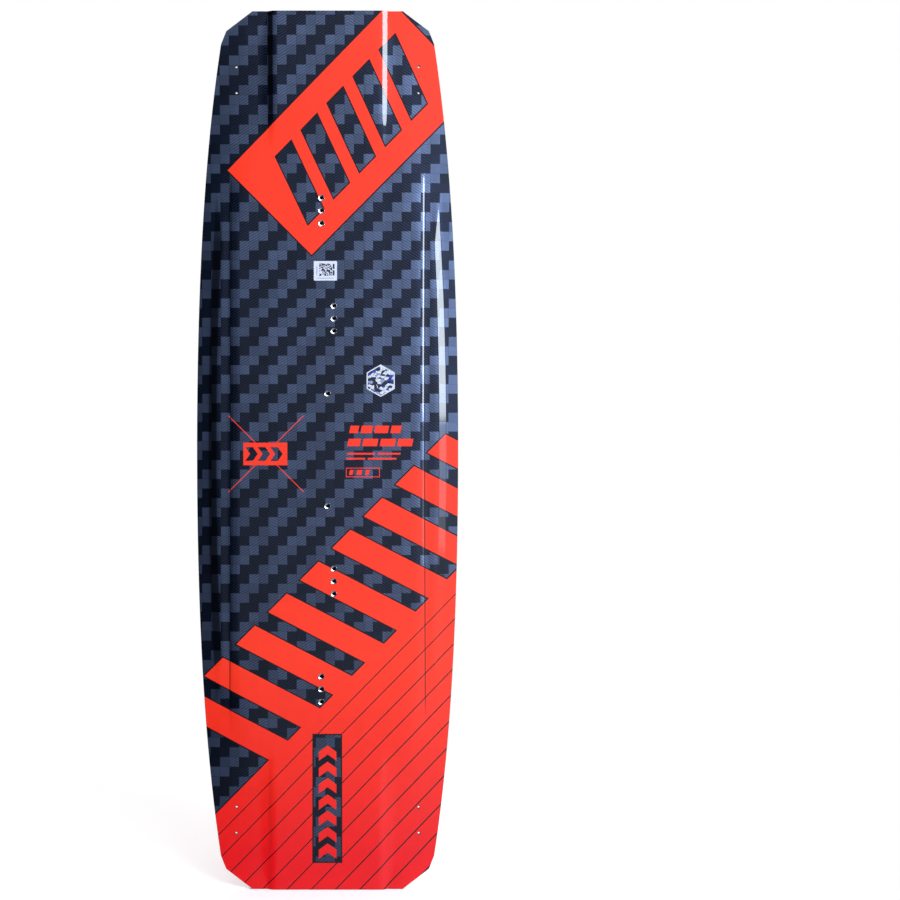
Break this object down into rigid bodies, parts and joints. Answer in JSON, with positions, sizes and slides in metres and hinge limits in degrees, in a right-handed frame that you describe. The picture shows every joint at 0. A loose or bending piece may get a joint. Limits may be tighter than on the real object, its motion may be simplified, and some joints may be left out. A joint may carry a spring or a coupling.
{
  "type": "kiteboard",
  "caption": "Twin-tip kiteboard: symmetrical laminated deck with rocker, cut corners, pressed steps, threaded pad and handle inserts and fin screw holes.",
  "frame": {"origin": "middle of the board's width and depth at the tail tip's end face, bottom centre of the bounding box, with the board upright as it is shown", "axes": "+Z along the board from tail to nose, +X to the right for somebody facing the deck, -Y out of the deck and +Y out of the base. In use the board lies flat, with -Y up."},
  "size_m": [0.42, 0.0485, 1.38],
  "materials": {
    "deck_print": "clear satin sheet over carbon, printed orange and red",
    "base_print": "gloss sheet, printed orange and red over carbon",
    "carbon": "spread-tow carbon ply in clear resin",
    "glass_ply": "glass cloth in clear resin",
    "wood": "light paulownia strips",
    "rail": "dense black sidewall plastic, sanded",
    "steel": "stainless, turned",
    "plug": "dense moulded plastic",
    "label": "white film label",
    "badge": "silver foil sticker"
  },
  "bodies": {
    "root": {"deck_sheet": "deck_print", "base_sheet": "base_print", "deck_carbon": "carbon", "base_carbon": "carbon", "deck_glass": "glass_ply", "base_glass": "glass_ply", "wood_core": "wood", "rail_left": "rail", "rail_right": "rail", "nose_tip_rail": "rail", "tail_tip_rail": "rail", "deck_label": "label", "deck_badge": "badge", "nose_outer_insert_1": "steel", "nose_outer_insert_2": "steel", "nose_outer_insert_3": "steel", "nose_inner_insert_1": "steel", "nose_inner_insert_2": "steel", "nose_inner_insert_3": "steel", "nose_handle_insert": "steel", "nose_left_fin_plug": "plug", "nose_right_fin_plug": "plug", "tail_outer_insert_1": "steel", "tail_outer_insert_2": "steel", "tail_outer_insert_3": "steel", "tail_inner_insert_1": "steel", "tail_inner_insert_2": "steel", "tail_inner_insert_3": "steel", "tail_handle_insert": "steel", "tail_left_fin_plug": "plug", "tail_right_fin_plug": "plug"}
  },
  "joints": []
}
